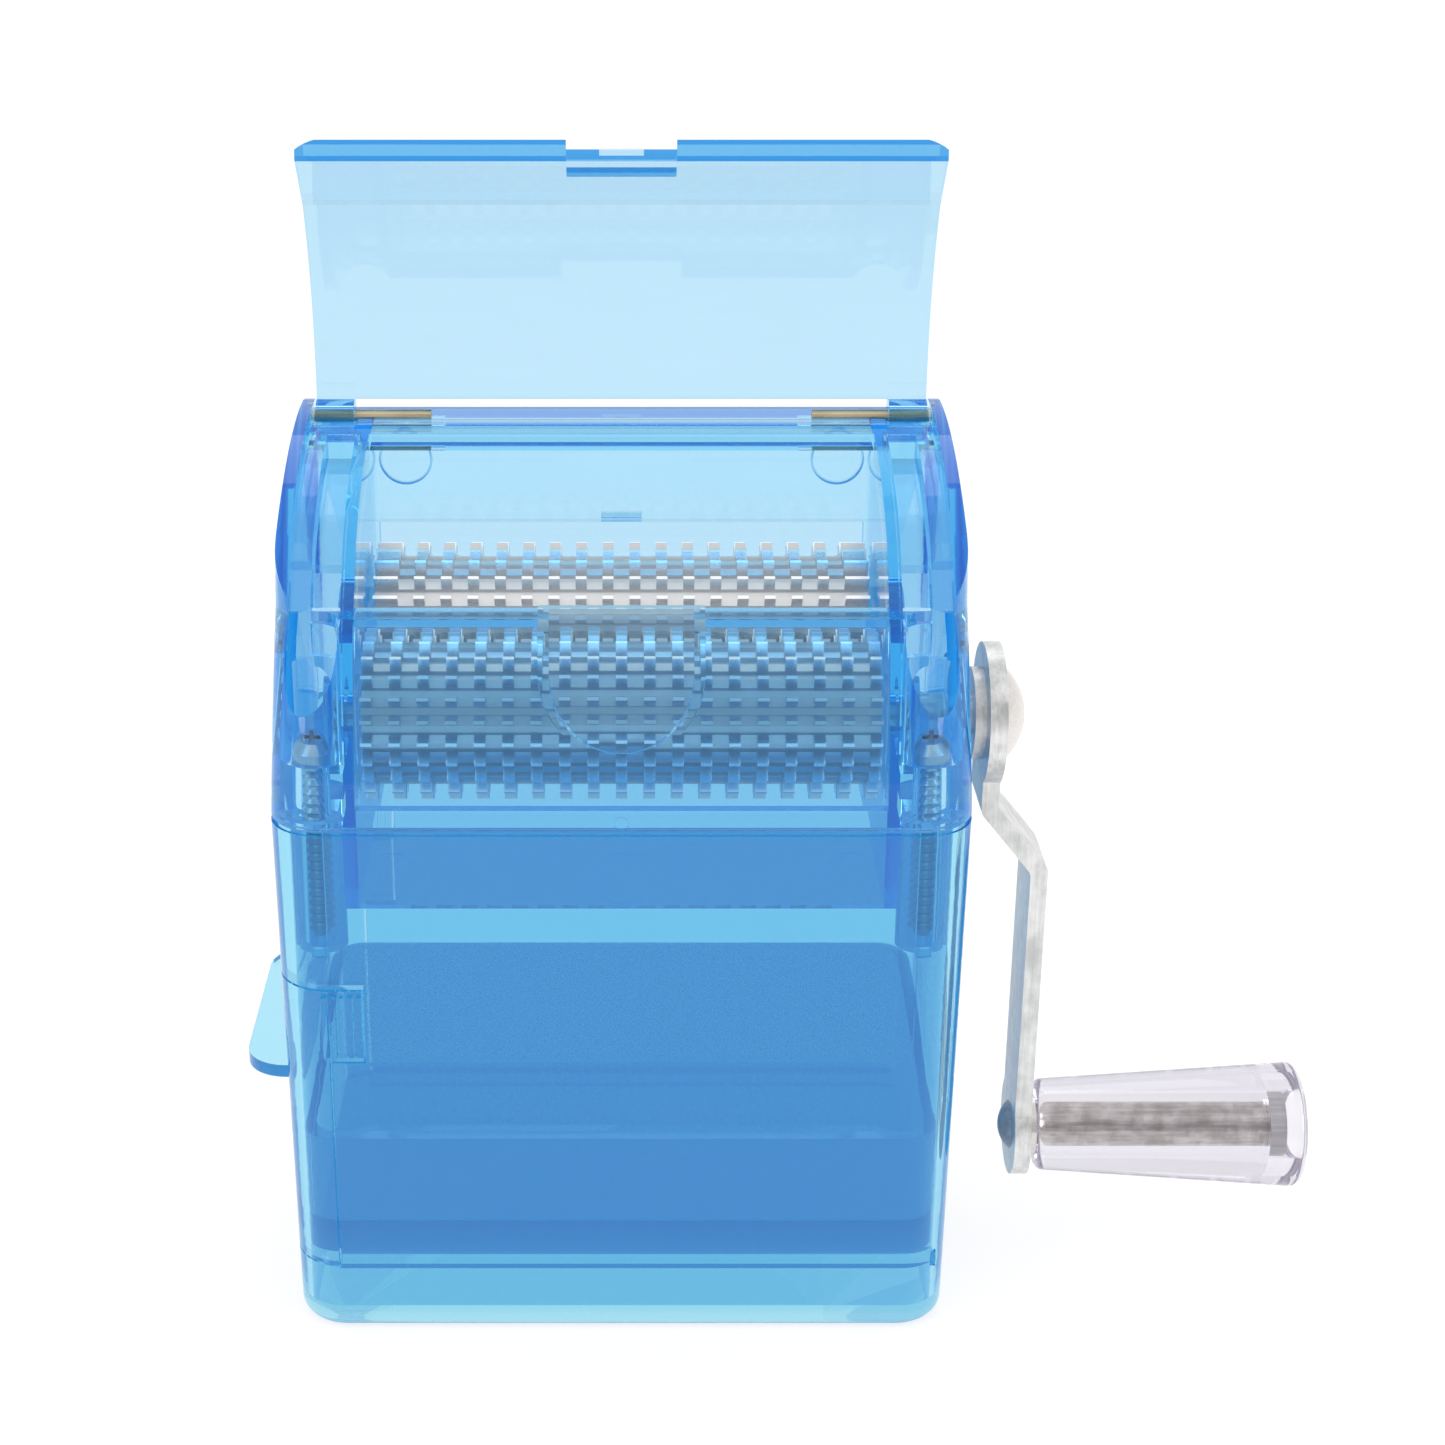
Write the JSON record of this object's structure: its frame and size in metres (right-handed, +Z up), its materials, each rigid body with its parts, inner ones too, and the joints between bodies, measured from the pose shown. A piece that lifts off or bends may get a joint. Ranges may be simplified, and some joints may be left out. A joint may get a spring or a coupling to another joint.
{
  "type": "hand-crank grinder",
  "caption": "Clear plastic hand-crank grinder box with twin toothed rollers under a hinged hatch lid, a side crank with a tapered knob and a pull-out drawer.",
  "frame": {"origin": "middle of the flat underside, level with what the grinder stands on", "axes": "+X along the rollers towards the crank, +Y from the front to the hinge at the back, +Z up"},
  "size_m": [0.1287, 0.0468, 0.1387],
  "materials": {
    "clear_blue": "polished, transparent",
    "clear_knob": "polished, transparent",
    "hinge_brass": "satin",
    "roller_metal": "machined, bright",
    "steel": "zinc plated",
    "bright_plate": "bright plated"
  },
  "bodies": {
    "housing": {"upper_housing": "clear_blue", "lower_housing": "clear_blue", "housing_screws": "steel", "hinge_pin_left": "hinge_brass", "hinge_pin_right": "hinge_brass"},
    "lid": {"lid": "clear_blue"},
    "drawer": {"drawer": "clear_blue"},
    "crank": {"front_roller": "roller_metal", "front_shaft": "steel", "crank_washer": "steel", "crank_arm": "steel", "crank_screw": "bright_plate", "knob_sleeve": "bright_plate", "knob_washer": "bright_plate", "knob_rivet": "bright_plate"},
    "rear_roller": {"rear_roller": "roller_metal", "rear_shaft": "steel"},
    "knob": {"knob": "clear_knob"}
  },
  "joints": [
    {"name": "lid_hinge", "type": "hinge", "parent": "housing", "child": "lid", "pos_m": [0, 0.01701, 0.104], "axis": [1, 0, 0], "range_deg": [-20, 95.6]},
    {"name": "drawer_slide", "type": "slide", "parent": "housing", "child": "drawer", "axis": [-1, 0, 0], "range_m": [0, 0.082]},
    {"name": "crank_spin", "type": "hinge", "parent": "housing", "child": "crank", "pos_m": [0, -0.00781, 0.0752], "axis": [1, 0, 0], "continuous": true},
    {"name": "rear_spin", "type": "hinge", "parent": "housing", "child": "rear_roller", "pos_m": [0, 0.01001, 0.07981], "axis": [1, 0, 0], "continuous": true},
    {"name": "knob_spin", "type": "hinge", "parent": "crank", "child": "knob", "pos_m": [0.067, -0.00781, 0.0202], "axis": [1, 0, 0], "continuous": true}
  ],
  "couplings": [
    {"joint": "rear_spin", "follows": "crank_spin", "ratio": -1}
  ]
}
